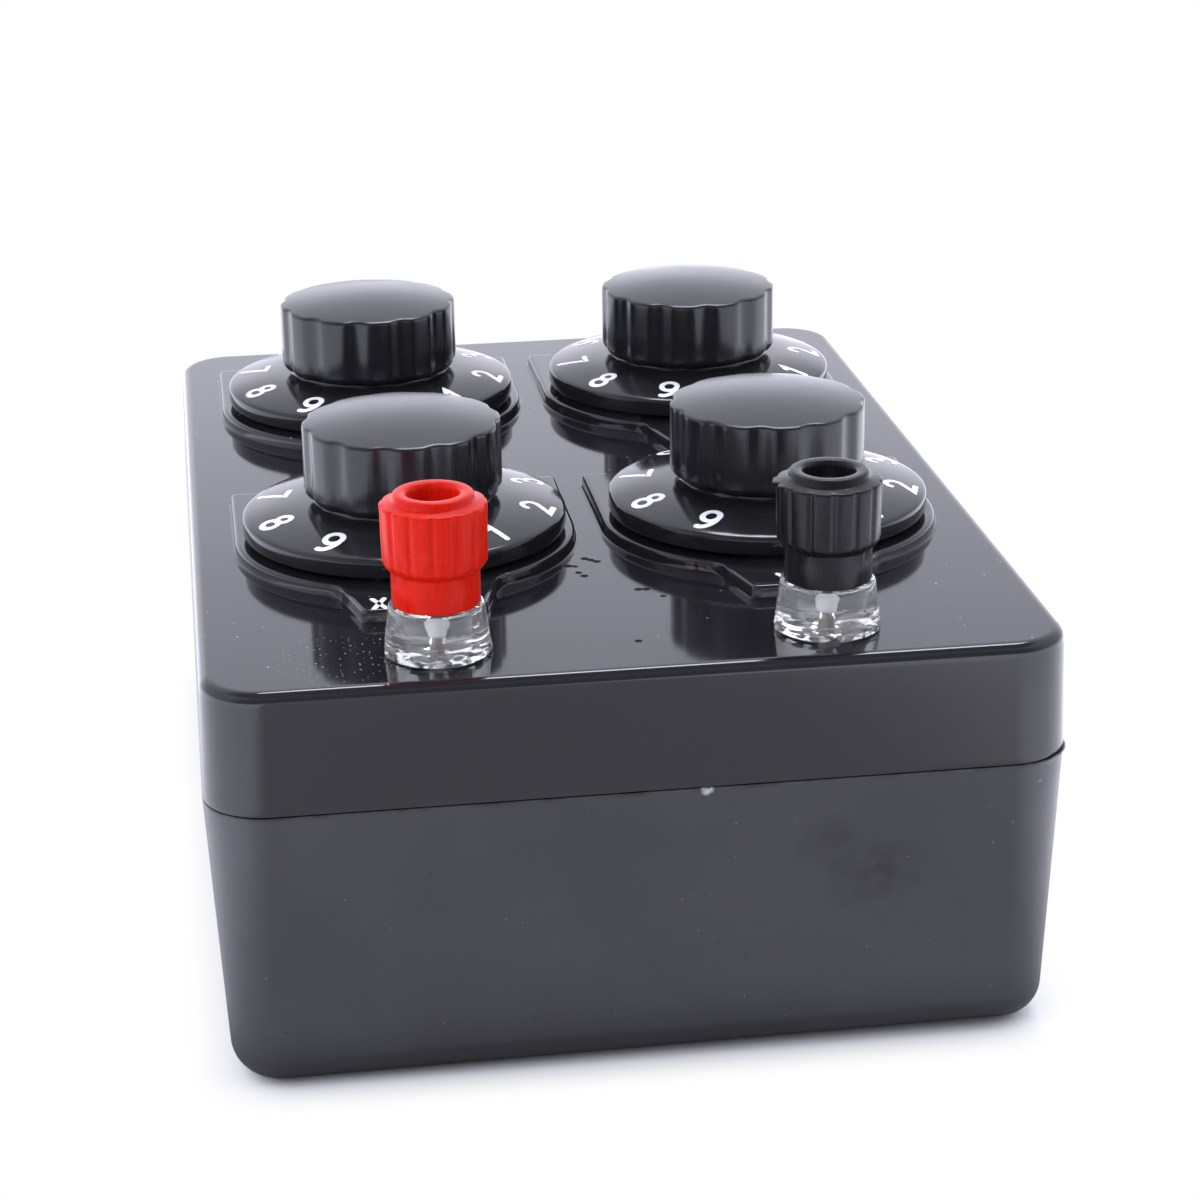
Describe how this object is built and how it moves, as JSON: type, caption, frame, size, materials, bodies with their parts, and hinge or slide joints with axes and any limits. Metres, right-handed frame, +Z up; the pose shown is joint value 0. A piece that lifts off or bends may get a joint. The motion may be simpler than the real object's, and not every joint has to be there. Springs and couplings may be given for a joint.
{
  "type": "decade resistor",
  "caption": "Decade resistance box with ten-step rotary dials on a black moulded case and two screw-cap binding posts, giving a set resistance between the posts.",
  "frame": {"origin": "middle of the case's underside", "axes": "+Z up, +X to the right and +Y to the back, with the binding posts at the front, towards -Y"},
  "size_m": [0.1, 0.14, 0.069],
  "materials": {
    "base_plastic": "satin black moulded plastic",
    "lid_plastic": "polished black moulded plastic",
    "dial_plastic": "gloss black moulded plastic with white digits",
    "knob_plastic": "gloss black moulded plastic",
    "red_cap_plastic": "satin red moulded plastic",
    "black_cap_plastic": "satin black moulded plastic",
    "clear_acrylic": "clear acrylic",
    "steel": "plated steel",
    "brass": "turned brass",
    "bronze": "phosphor bronze strip",
    "nylon": "moulded nylon",
    "phenolic": "brown phenolic board",
    "resistor": "lacquered resistors",
    "wire": "red insulated wire"
  },
  "bodies": {
    "case": {"base_box": "base_plastic", "lid": "lid_plastic", "case_screws": "steel", "board_screws": "steel", "bush_nuts": "steel", "post_nuts": "steel", "post_lugs": "brass", "link_wires": "wire", "thousands_bush": "brass", "thousands_index_spring": "steel", "thousands_board": "phenolic", "thousands_contacts": "brass", "thousands_resistors": "resistor", "hundreds_bush": "brass", "hundreds_index_spring": "steel", "hundreds_board": "phenolic", "hundreds_contacts": "brass", "hundreds_resistors": "resistor", "tens_bush": "brass", "tens_index_spring": "steel", "tens_board": "phenolic", "tens_contacts": "brass", "tens_resistors": "resistor", "units_bush": "brass", "units_index_spring": "steel", "units_board": "phenolic", "units_contacts": "brass", "units_resistors": "resistor", "red_stud": "brass", "red_clear_base": "clear_acrylic", "black_stud": "brass", "black_clear_base": "clear_acrylic"},
    "thousands_rotor": {"thousands_dial": "dial_plastic", "thousands_knob": "knob_plastic", "thousands_shaft": "steel", "thousands_clip": "steel", "thousands_index_plate": "nylon", "thousands_wiper": "bronze"},
    "hundreds_rotor": {"hundreds_dial": "dial_plastic", "hundreds_knob": "knob_plastic", "hundreds_shaft": "steel", "hundreds_clip": "steel", "hundreds_index_plate": "nylon", "hundreds_wiper": "bronze"},
    "tens_rotor": {"tens_dial": "dial_plastic", "tens_knob": "knob_plastic", "tens_shaft": "steel", "tens_clip": "steel", "tens_index_plate": "nylon", "tens_wiper": "bronze"},
    "units_rotor": {"units_dial": "dial_plastic", "units_knob": "knob_plastic", "units_shaft": "steel", "units_clip": "steel", "units_index_plate": "nylon", "units_wiper": "bronze"},
    "red_thread": {"red_insert": "brass"},
    "red_screw_cap": {"red_cap": "red_cap_plastic"},
    "black_thread": {"black_insert": "brass"},
    "black_screw_cap": {"black_cap": "black_cap_plastic"}
  },
  "joints": [
    {"name": "thousands_dial_turn", "type": "hinge", "parent": "case", "child": "thousands_rotor", "pos_m": [-0.023, 0.037, 0.0515], "axis": [0, 0, 1], "continuous": true, "deforming": ["thousands_index_spring"]},
    {"name": "hundreds_dial_turn", "type": "hinge", "parent": "case", "child": "hundreds_rotor", "pos_m": [0.023, 0.037, 0.0515], "axis": [0, 0, 1], "continuous": true, "deforming": ["hundreds_index_spring"]},
    {"name": "tens_dial_turn", "type": "hinge", "parent": "case", "child": "tens_rotor", "pos_m": [-0.023, -0.0214, 0.0515], "axis": [0, 0, 1], "continuous": true, "deforming": ["tens_index_spring"]},
    {"name": "units_dial_turn", "type": "hinge", "parent": "case", "child": "units_rotor", "pos_m": [0.023, -0.0214, 0.0515], "axis": [0, 0, 1], "continuous": true, "deforming": ["units_index_spring"]},
    {"name": "red_cap_lift", "type": "slide", "parent": "case", "child": "red_thread", "axis": [0, 0, 1], "range_m": [0, 0.0028]},
    {"name": "red_cap_turn", "type": "hinge", "parent": "red_thread", "child": "red_screw_cap", "pos_m": [-0.0225, -0.0595, 0.056], "axis": [0, 0, 1], "range_deg": [0, 1440]},
    {"name": "black_cap_lift", "type": "slide", "parent": "case", "child": "black_thread", "axis": [0, 0, 1], "range_m": [0, 0.0028]},
    {"name": "black_cap_turn", "type": "hinge", "parent": "black_thread", "child": "black_screw_cap", "pos_m": [0.0225, -0.0595, 0.056], "axis": [0, 0, 1], "range_deg": [0, 1440]}
  ],
  "couplings": [
    {"joint": "red_cap_turn", "follows": "red_cap_lift", "rad_per_m": 8976},
    {"joint": "black_cap_turn", "follows": "black_cap_lift", "rad_per_m": 8976}
  ]
}
